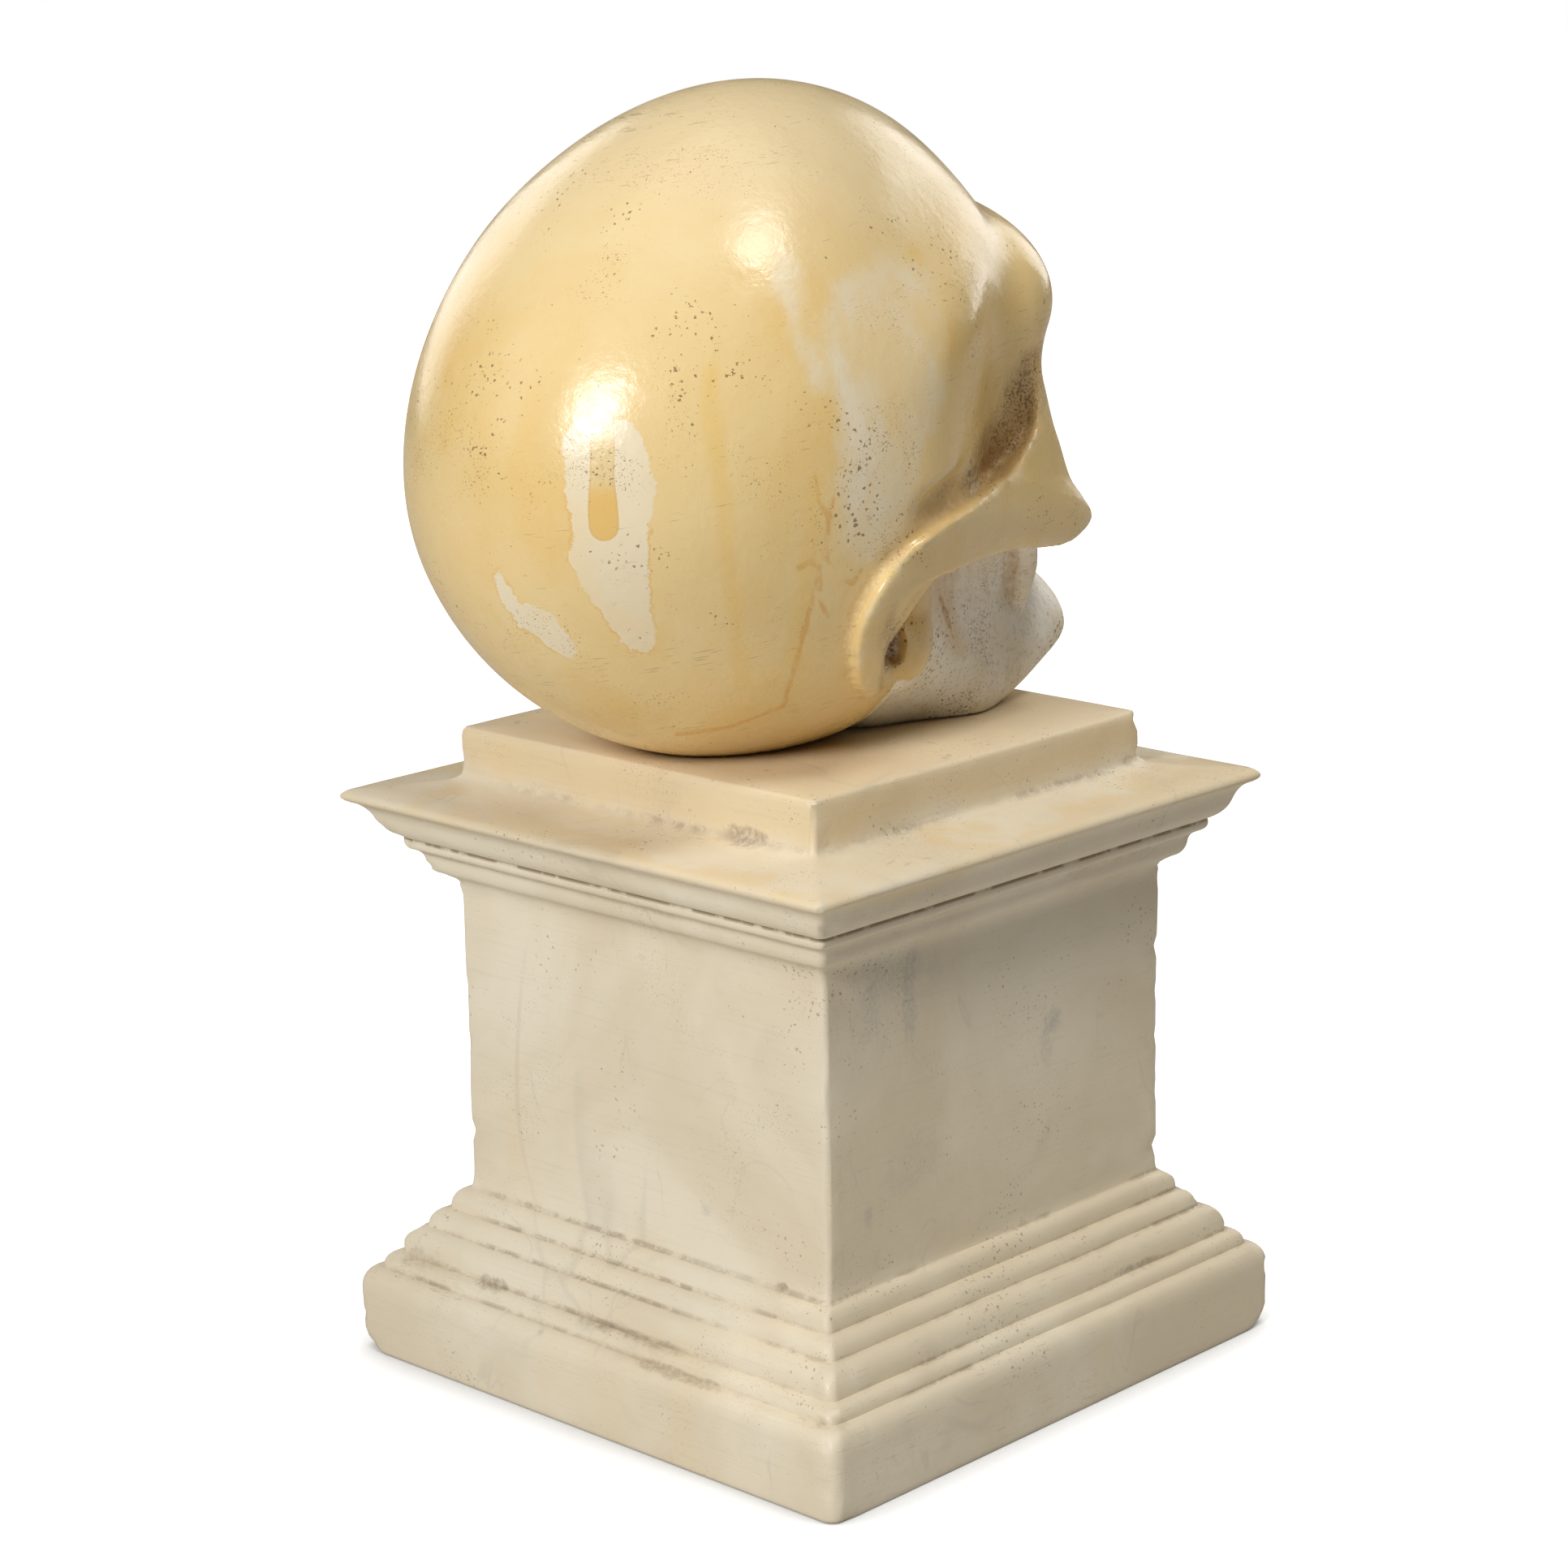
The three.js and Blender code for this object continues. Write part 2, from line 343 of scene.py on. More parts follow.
painted(plinth, "ridge", np.clip(ridge[level_of], 0, 1))
painted(plinth, "arris", ramp(from_arris(points), -2.6, -0.6))

# The plinth's marble: cream that has yellowed, with faint veins, smudges, dirt and pits.
DARK_CREAM = (0.755, 0.65, 0.475, 1)
LIGHT_CREAM = (0.85, 0.765, 0.605, 1)
YELLOW_CLOUD = (0.80, 0.66, 0.43, 1)
PLINTH_HONEY = (0.80, 0.61, 0.33, 1)
TOP_FACE_LIGHTENED = (0.88, 0.74, 0.52, 1)
VEIN_GREY = (0.33, 0.31, 0.28, 1)
SMUDGE_GREY = (0.40, 0.395, 0.38, 1)
SMUDGE_BROWN = (0.23, 0.155, 0.09, 1)
BRUSHED_SHADE = (0.52, 0.45, 0.34, 1)
RUBBED_EDGE = (0.80, 0.71, 0.55, 1)
CREASE_DIRT = (0.27, 0.19, 0.11, 1)
PIT_SHADE = (0.26, 0.20, 0.13, 1)
SCRATCH_SHADE = (0.40, 0.32, 0.22, 1)
# The scale, width, strength and turn of each run of grey veins.
VEINS = ((9, 0.012, 0.16, (0.3, 0.5, 0)), (22, 0.010, 0.14, (1.1, 0.2, 0.7)))
# Grey clouds in the right face, and brown dirt in a few corners: place, half sizes and strength.
GREY_SPOTS = (
    ((-59.7, 31, 104), (6, 2.2, 11), 0.5), ((-59.7, 44, 106), (5, 3, 9), 0.35),
    ((-59.7, -20, 88), (6, 4, 3.4), 0.6), ((-59.7, -17, 83), (5, 2, 6), 0.3),
    ((-59.7, 45.5, 57), (5, 1.6, 4), 0.5), ((-59.7, 36, 113), (6, 16, 5), 0.35),
    ((-21.5, 59, 54), (1.6, 5, 1.6), 0.5), ((-59.7, 28, 66), (6, 10, 7), 0.22),
)
BROWN_SPOTS = (
    ((38, 72.4, 25), (5.5, 5, 1.8), 0.9), ((62, 73, 24.5), (9, 6, 2.2), 0.35),
    ((-46, 59.5, 41.5), (2, 3, 1.2), 0.9), ((-72, -35, 25.5), (5, 11, 1), 0.7),
    ((-37.6, 58.3, 145), (7, 4, 2.4), 0.75), ((15.3, 78.2, 20), (1.4, 4, 1), 0.6),
    ((-56.7, -49.5, 144.7), (4, 3, 1.8), 0.7), ((-10, 72, 24.6), (14, 5, 1.1), 0.6),
    ((-30, 76, 21), (16, 5, 0.9), 0.6), ((-74, 74, 21), (4, 4, 1.6), 0.45),
)
SPOT_STRENGTH = 0.75


def spot(tree, place, at, size, edge):
    """1 inside an oval spot given in millimetres, 0 outside, with an edge that a mask frays."""
    gap = node(tree, "VectorMath", operation="SUBTRACT", I0=place, I1=Vector(at) * MM).outputs[0]
    gap = node(tree, "VectorMath", operation="DIVIDE", I0=gap, I1=Vector(size) * MM).outputs[0]
    gap = node(tree, "VectorMath", operation="LENGTH", I0=gap).outputs["Value"]
    return band(tree, maths(tree, "ADD", gap, edge), 0.35, 1.25, 1, 0)


pale_stone = bpy.data.materials.new("pale_marble")
pale_stone.use_nodes = True
tree = pale_stone.node_tree
shader = tree.nodes["Principled BSDF"]
place = node(tree, "TexCoord").outputs["Object"]
height = product(tree, node(tree, "SeparateXYZ", Vector=place).outputs["Z"], 1 / MM)
uneven_height = maths(tree, "ADD", height, around_nothing(tree, cloudy(tree, place, 30, 3, 0.6), 14))
# Cream stone, clouded yellow.
clouds = band(tree, cloudy(tree, place, 14, 4, 0.6, 0.4), 0.35, 0.68)
colour = tint(tree, clouds, DARK_CREAM, LIGHT_CREAM)
leaning = stretched(tree, place, (1, 1, 0.5), (0.4, 0.9, 0))
yellow = band(tree, cloudy(tree, leaning, 17, 3, 0.65), 0.55, 0.72)
colour = washed(tree, colour, YELLOW_CLOUD, yellow, 0.55)
# Honey on the top block and along the cornice's edge.
block_honey = product(tree, band(tree, uneven_height, 142, 150), 0.62)
edge_honey = product(tree, band(tree, uneven_height, 135.5, 139.5),
                     band(tree, uneven_height, 140.6, 142.4, 1, 0), 0.5)
colour = washed(tree, colour, PLINTH_HONEY, largest(tree, block_honey, edge_honey))
# The top face is laid paler: its own honey tone, lightened with painted light against the shade it
# gets.
colour = washed(tree, colour, TOP_FACE_LIGHTENED, band(tree, height, BLOCK_TOP - 0.7, BLOCK_TOP - 0.1), 0.75)
for scale, width, strength, turn in VEINS:
    vein = cloudy(tree, stretched(tree, place, (1, 1, 0.45), turn), scale, 3, 0.5, 1.2)
    thin = band(tree, maths(tree, "ABSOLUTE", maths(tree, "SUBTRACT", vein, 0.5)), 0, width, 1, 0)
    patchy = band(tree, cloudy(tree, place, scale * 2.2, 2), 0.48, 0.66)
    colour = washed(tree, colour, VEIN_GREY, product(tree, thin, patchy), strength)
fraying = around_nothing(tree, cloudy(tree, place, 130, 4, 0.7), 3.2)
crumbs = band(tree, cloudy(tree, place, 700, 4, 0.7), 0.36, 0.62, 0.35, 1)
for smudges, shade in ((GREY_SPOTS, SMUDGE_GREY), (BROWN_SPOTS, SMUDGE_BROWN)):
    for at, size, strength in smudges:
        share = product(tree, spot(tree, place, at, size, fraying), SPOT_STRENGTH * strength, crumbs)
        colour = washed(tree, colour, shade, share)
# Fine level brushing from the carver's abrasive.
brushed = cloudy(tree, stretched(tree, place, (60, 60, 1500)), 1, 2, 0.5)
colour = washed(tree, colour, BRUSHED_SHADE, band(tree, brushed, 0.50, 0.85, 0, 0.15))
# Rubbed pale along edges, brown dirt in the creases and most of it under the cornice.
rubbed = largest(tree, read(tree, "arris"), product(tree, read(tree, "ridge"), 0.5))
uneven_rubbing = band(tree, cloudy(tree, place, 90, 3), 0.35, 0.6, 0.15, 0.7)
colour = washed(tree, colour, RUBBED_EDGE, product(tree, rubbed, uneven_rubbing))
ragged = cloudy(tree, place, 170, 3, 0.7)
here_and_there = product(tree, band(tree, cloudy(tree, place, 22, 3, 0.6), 0.44, 0.62),
                         band(tree, cloudy(tree, place, 260, 3, 0.75), 0.38, 0.60, 0.15, 1), 0.6)
under_cornice = product(tree, band(tree, height, 124.5, 127), band(tree, height, 131, 133, 1, 0),
                        band(tree, ragged, 0.36, 0.52, 0.25, 1))
dirt = product(tree, band(tree, read(tree, "crease"), 0.15, 0.75),
               largest(tree, here_and_there, under_cornice))
colour = washed(tree, colour, CREASE_DIRT, dirt, 0.85)
# Pits, and scratches that are pits on stretched stone.
pits = placed(tree, pitting, Vector=place, Amount=0.42)["Pits"]
lengthened = stretched(tree, place, (0.16, 0.16, 2.4))
scratches = placed(tree, pitting, Vector=lengthened, Amount=0.42)["Pits"]
colour = washed(tree, colour, PIT_SHADE, pits, 0.6)
colour = washed(tree, colour, SCRATCH_SHADE, scratches, 0.3)
tree.links.new(colour, shader.inputs["Base Color"])
rough = band(tree, cloudy(tree, place, 60, 2), 0.3, 0.7, 0.42, 0.58)
tree.links.new(shifted(tree, rough, dirt, 0.3), shader.inputs["Roughness"])
relief = shifted(tree, cloudy(tree, place, 420, 3, 0.6), brushed, 0.25)
bump = node(tree, "Bump", Height=relief, Strength=0.5, Distance=0.22 * MM)
tree.links.new(bump.outputs["Normal"], shader.inputs["Normal"])
plinth.data.materials.append(pale_stone)
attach(plinth, "root")
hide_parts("plinth")

# The skull.
# One block of marble, carved without its lower jaw and polished: the vault, the brow and eye
# sockets, the cheek arches that curl down behind, and the upper jaw. It lies on the top block.
FACE_TILT = math.radians(-20)
SKULL_CENTRE = (0, 18 * MM, 229.4 * MM)
SEAT = 156.2 * MM
VAULT_ACROSS = 65.6
VAULT_BACK = 91.3
VAULT_FRONT = 68.1
VAULT_UP = 68.2
VAULT_DOWN = 84.1
VAULT_TILT = math.radians(5.6)
VAULT_MIDDLE = (0, -2.3, 7.6)
# Shares by which the vault is narrowed or drawn out in places.
BACK_SLOPE = 0.056
FOREHEAD_NARROWER = 0.19
TEMPLE_NARROWER = 0.30
UNDERSIDE_NARROWER = 0.42
FOREHEAD_FULLER = 0.065
# The middle and half sizes of each ball that is added or cut out.
SIDE_HOLLOW = ((60, 1, -52), (22, 27, 24))
FOREHEAD = ((0, -46.9, 9.1), (51.6, 30.3, 26.6))
NOSE_BRIDGE = ((0, -68, -22), (9, 13, 18))
CHEEK_BONE = ((30, -50, -44), (14, 12, 10))
SOCKET_WALL = ((36, -38, -20), (10.5, 14, 26))
BEHIND_JAW = ((35, 8, -46), (9, 12, 15))
EYE_SOCKET = ((29, -61, -20), (16.5, 24.5, 16.5))
NOSE_ROOT = ((0, -68, -44), (7, 16, 11))
NOSTRIL = ((5.5, -65, -55), (7, 16, 12))
HOOK_HOLLOW = ((47.5, 18.2, -40), (7, 5, 10))
HOOK_PITS = (
    ((49, 20.4, -39), (3.7, 3.5, 9)), ((45.6, 17.2, -41.3), (3.7, 3.5, 8)),
    ((42.2, 14, -43.6), (3.7, 3.5, 7)),
)
# How coarse the joined skin is at each stage, in millimetres.
COARSE_SKIN = 1.6
MIDDLE_SKIN = 1.3
FINE_SKIN = 1.15


def lump(at, size, side=1):
    """A ball of those half sizes, in millimetres in the skull's own level frame."""
    bpy.ops.object.select_all(action="DESELECT")
    place = (side * at[0], at[1], at[2])
    bpy.ops.mesh.primitive_uv_sphere_add(segments=48, ring_count=32, location=place, scale=size)
    bpy.ops.object.transform_apply(location=True, rotation=True, scale=True)
    return bpy.context.object


def through(rows, steps):
    """A smooth line through rows of numbers, with steps points between each two."""
    rows = np.array(rows, float)
    ends = np.concatenate([2 * rows[:1] - rows[1:2], rows, 2 * rows[-1:] - rows[-2:-1]])
    line = []
    for before, start, end, after in zip(ends, ends[1:], ends[2:], ends[3:]):
        for share in np.linspace(0, 1, steps, endpoint=False):
            slope = (end - before) * share + (2 * before - 5 * start + 4 * end - after) * share ** 2
            line.append(start + 0.5 * (slope + (3 * start - before - 3 * end + after) * share ** 3))
    return np.array(line + [rows[-1]])


def tube(name, centre, outward, upward, side, squareness=0.8, sides=32):
    """A closed bar along a centre line, with its half-thickness and half-height as arrows."""
    turn = np.linspace(0, 2 * np.pi, sides, endpoint=False)
    cos, sin = np.cos(turn), np.sin(turn)
    cos = (np.sign(cos) * np.abs(cos) ** squareness)[:, None]
    sin = (np.sign(sin) * np.abs(sin) ** squareness)[:, None]
    rings = centre[:, None] + outward[:, None] * cos + upward[:, None] * sin
    return stacked(name, rings * (side, 1, 1))


def bar(name, rows, side, squareness=0.8):
    """A bar whose rows give its centre line, then its half-thickness and half-height there."""
    line = through(rows, 5)
    centre = line[:, :3]
    tangent = np.gradient(centre, axis=0)
    tangent /= np.linalg.norm(tangent, axis=1)[:, None]
    outward = centre * (1, 1, 0)
    outward -= tangent * (outward * tangent).sum(1)[:, None]
    outward /= np.linalg.norm(outward, axis=1)[:, None]
    upward = np.cross(tangent, outward)
    return tube(name, centre, outward * line[:, 3:4], upward * line[:, 4:5], side, squareness)


def joined(name, parts):
    """The parts made one object."""
    bpy.ops.object.select_all(action="DESELECT")
    for part in parts:
        part.select_set(True)
    bpy.context.view_layer.objects.active = parts[0]
    bpy.ops.object.join()
    parts[0].name = name
    return parts[0]


def melted(made, voxel, rounds):
    """One skin over all that the object holds, smoothed so many times."""
    bpy.ops.object.select_all(action="DESELECT")
    made.select_set(True)
    bpy.context.view_layer.objects.active = made
    made.data.remesh_voxel_size = voxel
    bpy.ops.object.voxel_remesh()
    smooth = made.modifiers.new("smooth", "SMOOTH")
    smooth.factor = 0.5
    smooth.iterations = rounds
    bpy.ops.object.modifier_apply(modifier="smooth")


def soothed(made, place, reach, rounds):
    """Smooths the skin around a place on either side, most in its middle."""
    made.vertex_groups.clear()
    soft = made.vertex_groups.new(name="soft")
    for vertex in made.data.vertices:
        away = (Vector((abs(vertex.co.x), vertex.co.y, vertex.co.z)) - Vector(place)).length
        if away < reach:
            soft.add([vertex.index], 1 - (away / reach) ** 2, "REPLACE")
    smooth = made.modifiers.new("smooth", "SMOOTH")
    smooth.factor = 0.5
    smooth.iterations = rounds
    smooth.vertex_group = "soft"
    bpy.ops.object.modifier_apply(modifier="smooth")
    made.vertex_groups.clear()


def cut(made, tool):
    """Takes the tool's shape out of the object."""
    bpy.ops.object.select_all(action="DESELECT")
    made.select_set(True)
    bpy.context.view_layer.objects.active = made
    boolean = made.modifiers.new("cut", "BOOLEAN")
    boolean.operation = "DIFFERENCE"
    boolean.solver = "MANIFOLD"
    boolean.object = tool
    bpy.ops.object.modifier_apply(modifier="cut")
    bpy.data.objects.remove(tool)


# The vault is a ball pushed into an egg, narrowed at the forehead, the temples and underneath.
bpy.ops.object.select_all(action="DESELECT")
bpy.ops.mesh.primitive_ico_sphere_add(subdivisions=6, radius=1)
vault = bpy.context.object
points = np.empty(len(vault.data.vertices) * 3)
vault.data.vertices.foreach_get("co", points)
points = points.reshape(-1, 3)
x = points[:, 0] * VAULT_ACROSS
y = points[:, 1] * np.where(points[:, 1] < 0, VAULT_FRONT, VAULT_BACK)
z = points[:, 2] * np.where(points[:, 2] < 0, VAULT_DOWN, VAULT_UP)
leaner = 1 - BACK_SLOPE * np.clip(points[:, 1], 0, 1) ** 2 * points[:, 2] ** 2
x, y, z = x * leaner, y * leaner, z * leaner
high = ramp(z, 7, 38)
x = x * (1 - FOREHEAD_NARROWER * ramp(-y, -30, 46) * high)
x = x * (1 - TEMPLE_NARROWER * ramp(-y, -16, 36) * ramp(-z, -20, 16))
x = x * (1 - UNDERSIDE_NARROWER * ramp(-y, -28, 6) * ramp(-z, 28, 56))
y = np.where(y < 0, y * (1 + FOREHEAD_FULLER * high), y)
cos, sin = math.cos(VAULT_TILT), math.sin(VAULT_TILT)
tipped = np.column_stack([x, y * cos + z * sin, z * cos - y * sin]) + VAULT_MIDDLE
vault.data.vertices.foreach_set("co", tipped.ravel())

# The upper jaw, as level half-sections: a height, and the corners there from the middle of the
# back round to the middle of the front.
JAW_SECTIONS = (
    (-92, ((0, -8), (7, -9), (13, -13), (20, -21), (21, -32), (18, -42), (13, -50), (7, -56),
           (0, -58))),
    (-88, ((0, 0), (9, -1), (16, -6), (25.5, -18.5), (26.5, -32), (25, -44), (21, -54),
           (11, -62), (0, -65))),
    (-84, ((0, 5), (11, 3), (18.5, -4), (29.6, -18.5), (29.2, -32), (28, -46), (25.2, -58.2),
           (13, -67), (0, -70))),
    (-78, ((0, 8), (15, 6), (22.5, -2), (31.4, -17.8), (30.2, -32), (29.4, -45), (25.2, -58.2),
           (14, -67), (0, -70))),
    (-70, ((0, 14), (21, 12), (28.5, 1), (32.6, -17), (30.8, -31), (28, -44), (23.6, -54.6),
           (13, -63.5), (0, -66.5))),
    (-62, ((0, 16), (25, 14), (34.5, 4), (33.6, -16), (31.2, -30), (27.2, -42), (24, -51.6),
           (13, -61), (0, -64))),
    (-50, ((0, 18), (30, 17), (41.5, 6), (34.6, -14.5), (33, -28), (31, -41), (27, -53),
           (15, -64), (0, -67))),
    (-34, ((0, 20), (33, 18), (45, 5), (36, -14), (35, -27), (35, -41), (31, -54), (17, -64),
           (0, -67))),
    (-20, ((0, 20), (33, 18), (45, 5), (37, -14), (36, -27), (36, -42), (32, -56), (17, -65),
           (0, -67))),
)
rings = []
for row in through([np.append(np.ravel(half), height) for height, half in JAW_SECTIONS], 3):
    half = through(row[:-1].reshape(-1, 2), 4)
    ring = np.concatenate([half, half[-2:0:-1] * (-1, 1)])
    rings.append(np.column_stack([ring, np.full(len(ring), row[-1])]))
jaw = stacked("jaw", np.array(rings))

for side in (-1, 1):
    cut(vault, lump(*SIDE_HOLLOW, side))
BROW = (
    (42.5, -53.5, 4, 4.5, 5), (44.8, -49.4, -1.5, 3.8, 4.4), (46, -47, -7.5, 3, 3.4),
    (46.8, -46.5, -16, 2, 2),
)
parts = [vault, lump(*FOREHEAD), lump(*NOSE_BRIDGE)]
for side in (-1, 1):
    parts.append(lump(*CHEEK_BONE, side))
    parts.append(lump(*SOCKET_WALL, side))
    parts.append(bar("brow", BROW, side))
skull = joined("skull_marble", parts)
melted(skull, COARSE_SKIN, 14)
soothed(skull, (49, -38, 18), 24, 60)

# A valley at each temple, deepest behind the eye socket, that runs back along the cheek arch.
TEMPLE_VALLEY = (
    (52, -46, 6, 1, 1.5), (50.5, -41, -2, 3.6, 4.5), (50.5, -34.5, -8.8, 5.4, 6),
    (54, -26, -12.4, 6, 6.8), (58.4, -16, -13, 5.6, 6.4), (62.0, -5, -12.6, 5.6, 6.6),
    (64.6, 6, -11.2, 5.2, 6.6), (66.2, 16, -9.6, 4.4, 6), (67.4, 25, -8.6, 3.2, 4.6),
)
for side in (-1, 1):
    cut(skull, bar("valley", TEMPLE_VALLEY, side, squareness=1))
melted(skull, MIDDLE_SKIN, 5)
# The temple swells again above the valley, so its side slopes evenly down into it.
SWELL = 4.3
SWELL_MIDDLE = (-27, 0.5)
SWELL_REACH = (9.5, 9)
for vertex in skull.data.vertices:
    x, y, z = vertex.co
    lengthways = (y - SWELL_MIDDLE[0]) / SWELL_REACH[0]
    upwards = (z - SWELL_MIDDLE[1]) / SWELL_REACH[1]
    swell = SWELL * math.exp(-lengthways ** 2 / 2 - upwards ** 2 / 2)
    vertex.co.x += math.copysign(swell, x) * min(1, abs(x) / 30)
soothed(skull, (50, -27, 4), 30, 180)

# The cheek is one band that narrows backwards into the arch and curls down at its end. Each row
# gives its upper crest, its lower edge and its thickness.
CHEEK_BAND = (
    (48.8, -46.2, -3.5, 47.4, -48.4, -4, 2), (49.9, -44.7, -8.6, 47.8, -47.8, -9.5, 4),
    (50.6, -42.0, -13.6, 48.0, -47.8, -19.0, 6), (51.2, -39.4, -17.0, 48.2, -48.3, -26.6, 8),
    (52.5, -33.9, -19.0, 48.4, -48.8, -34.9, 11), (54.0, -27.5, -20.3, 48.6, -51.3, -41.3, 13),
    (56.0, -21.0, -19.8, 48.8, -52.6, -47.6, 13), (57.8, -14.2, -18.9, 48.6, -44.1, -49.4, 13),
    (60.2, -7.2, -17.8, 48.8, -34.9, -46.2, 12), (62.0, -0.9, -16.9, 50.4, -24.1, -40.6, 11),
    (63.7, 8.4, -15.2, 52.8, -12.7, -36.0, 10), (64.4, 17.3, -14.5, 55.7, -0.9, -32.1, 9),
    (63.2, 24.5, -15.7, 58.6, 11.0, -27.9, 8), (62.0, 30.6, -19.0, 59.2, 18.0, -27.0, 7.5),
    (59.6, 33.8, -23.2, 57.8, 22.0, -29.5, 7.5), (57.4, 35.4, -26.7, 55.6, 24.4, -33.0, 7.5),
    (55.2, 35.8, -30.7, 53.0, 26.0, -37.5, 7.5), (52.8, 35.5, -35.1, 50.4, 25.6, -42.0, 7),
    (47.2, 32.3, -45.3, 46.0, 24.0, -48.6, 6.5), (42.0, 27.2, -52.4, 42.6, 21.2, -53.4, 6),
)
LOWER_RIM = (
    (44, -48, -44, 3.5, 4), (35, -55, -42, 5, 6), (24, -61, -40, 5, 6), (13, -65, -33, 5, 6),
)
BUTTRESS = (
    (33, -44.5, -46, 3.6, 3.6), (31.5, -45.4, -54, 3, 3), (30.4, -45, -59, 2.8, 2.8),
    (28, -43, -65, 2.8, 2.8), (25, -41, -71, 2.4, 2.4),
)


def cheek_band(side):
    """The band as a closed bar with a crisp crest, a soft swell outside and a sloping back."""
    rows = through(CHEEK_BAND, 4)
    crest, edge, thick = rows[:, :3], rows[:, 3:6], rows[:, 6:]
    height = np.linalg.norm(crest - edge, axis=1)[:, None]
    upward = (crest - edge) / height
    outward = np.cross(np.gradient((crest + edge) / 2, axis=0), upward)
    outward /= np.linalg.norm(outward, axis=1)[:, None]
    ring = [edge + share * (crest - edge) + outward * 2.8 * share * (1 - share)
            for share in np.linspace(0, 1, 14)]
    ring += [crest - outward * 0.9 + upward * 0.25, crest - outward * 2 - upward * 0.4]
    ring += [crest - outward * 0.55 * thick - upward * np.minimum(2.2, 0.2 * height)]
    ring += [crest - outward * thick - upward * np.minimum(6, 0.4 * height)]
    ring += [edge - outward * thick + upward * 0.15 * height, edge - outward * thick / 2]
    ring += [edge - outward * 0.9 - upward * 0.3]
    return stacked("cheek", np.stack(ring, 1) * (side, 1, 1))


parts = [skull, jaw]
for side in (-1, 1):
    parts.append(lump(*BEHIND_JAW, side))
    parts.append(cheek_band(side))
    parts.append(bar("lower_rim", LOWER_RIM, side))
    parts.append(bar("buttress", BUTTRESS, side))
skull = joined("skull_marble", parts)
melted(skull, FINE_SKIN, 2)
soothed(skull, (47, -47, -4), 9, 12)

# The eye sockets, the nose and the pit inside each curled end are cut in.
for side in (-1, 1):
    for hollow in (EYE_SOCKET, NOSTRIL, HOOK_HOLLOW, *HOOK_PITS):
        cut(skull, lump(*hollow, side))
cut(skull, lump(*NOSE_ROOT))
melted(skull, FINE_SKIN, 2)
skull.location = SKULL_CENTRE
skull.rotation_euler = (FACE_TILT, 0, 0)
skull.scale = (MM, MM, MM)
bpy.ops.object.transform_apply(location=True, rotation=True, scale=True)
# It lies on a flat seat.
for vertex in skull.data.vertices:
    vertex.co.z = max(vertex.co.z, SEAT)
bpy.ops.object.shade_smooth()

# Marks that the stone shows are drawn on a stencil that stands upright at its back right, in
# millimetres across and up, and are kept for each point as its distance from the mark's edge.
count = len(skull.data.vertices)
points = np.empty(count * 3)
skull.data.vertices.foreach_get("co", points)
points = points.reshape(-1, 3) / MM
facing = np.empty(count * 3)
skull.data.vertices.foreach_get("normal", facing)
facing = facing.reshape(-1, 3)
STENCIL_ACROSS = (-0.723, -0.691, 0)
STENCIL_FACING = (-0.691, 0.723, 0.1)
stencil = np.column_stack([points @ STENCIL_ACROSS, points[:, 2]])
seen_side = ramp(facing @ STENCIL_FACING, -0.05, 0.2)


def from_line(line):
    """How far each point is from a line of corners on the stencil, and how far along it."""
    nearest, along = np.full(count, 1e3), np.zeros(count)
    line = np.array(line, float)
    for number, (start, end) in enumerate(zip(line, line[1:])):
        step = end - start
        share = np.clip(((stencil - start) @ step) / (step @ step), 0, 1)
        away = np.linalg.norm(stencil - start - share[:, None] * step, axis=1)
        along = np.where(away < nearest, number + share, along)
        nearest = np.minimum(nearest, away)
    return nearest, along / (len(line) - 1)


def within(corners):
    """How deep each point lies inside a closed outline on the stencil, less than 0 outside."""
    outline_points = np.array(corners + corners[:1], float)
    inside = np.zeros(count, bool)
    for start, end in zip(outline_points, outline_points[1:]):
        crosses = (start[1] > stencil[:, 1]) != (end[1] > stencil[:, 1])
        rise = end[1] - start[1] or 1e-9
        edge = start[0] + (end[0] - start[0]) * (stencil[:, 1] - start[1]) / rise
        inside ^= crosses & (stencil[:, 0] < edge)
    return np.where(inside, 1, -1) * from_line(corners + corners[:1])[0]


WHITE_RUN = [
    (-47.5, 241.5), (-51.3, 237), (-50.7, 228.8), (-49.8, 222.9), (-49.1, 216.8), (-50.5, 211.4),
    (-46.5, 203.6), (-42, 196.6), (-38.3, 189.5), (-33.4, 189.5), (-31.9, 192.5), (-33, 199.1),
    (-33.6, 211.5), (-32.3, 222.1), (-30.9, 228.4), (-33.7, 236.2), (-35.5, 240.5), (-41, 241.5),
]
SLANTED_PATCH = [
    (-65.5, 208.6), (-61.5, 200.9), (-58.3, 200.6), (-54.8, 199.3), (-51.4, 194.5), (-48.7, 189.3),
    (-51.6, 187.7), (-57.1, 191.8), (-61.9, 195), (-65.5, 200.6), (-67.3, 206.1),
]
WORN_TEMPLE = [
    (5.4, 267.4), (9.4, 270.7), (20.1, 270.2), (29.1, 267.2), (32, 258.9), (32.5, 250.6),
    (31, 242.2), (28.2, 232.2), (24.1, 222.2), (23, 213.1), (20.7, 206.6), (16.3, 204.8),
    (10.9, 207.6), (6.6, 213.8), (7.6, 224.5), (8.5, 232.3), (5.6, 242), (4.6, 253.7),
]
WORN_STREAK = [(-3.4, 269), (-2.1, 263.1), (-0.1, 254.4), (2, 252.3), (3.6, 247.2)]
HONEY_RUN = [(-42.3, 241), (-42.4, 234), (-42.6, 227.3), (-42.5, 219)]
STAIN_LINES = (
    [(6.7, 224.6), (3, 206.8), (-1.6, 187.7), (-5.4, 172.7), (-17.1, 168.2), (-28.9, 166.4)],
    [(2.2, 228.1), (3.2, 221.5), (4.9, 217.7), (4.8, 208.5), (7.4, 203.9), (10, 202), (12.2, 205.5)],
    [(-1.4, 207.3), (1.3, 208.9), (3.3, 204.9), (2.9, 199.1), (4.6, 194.9)],
)
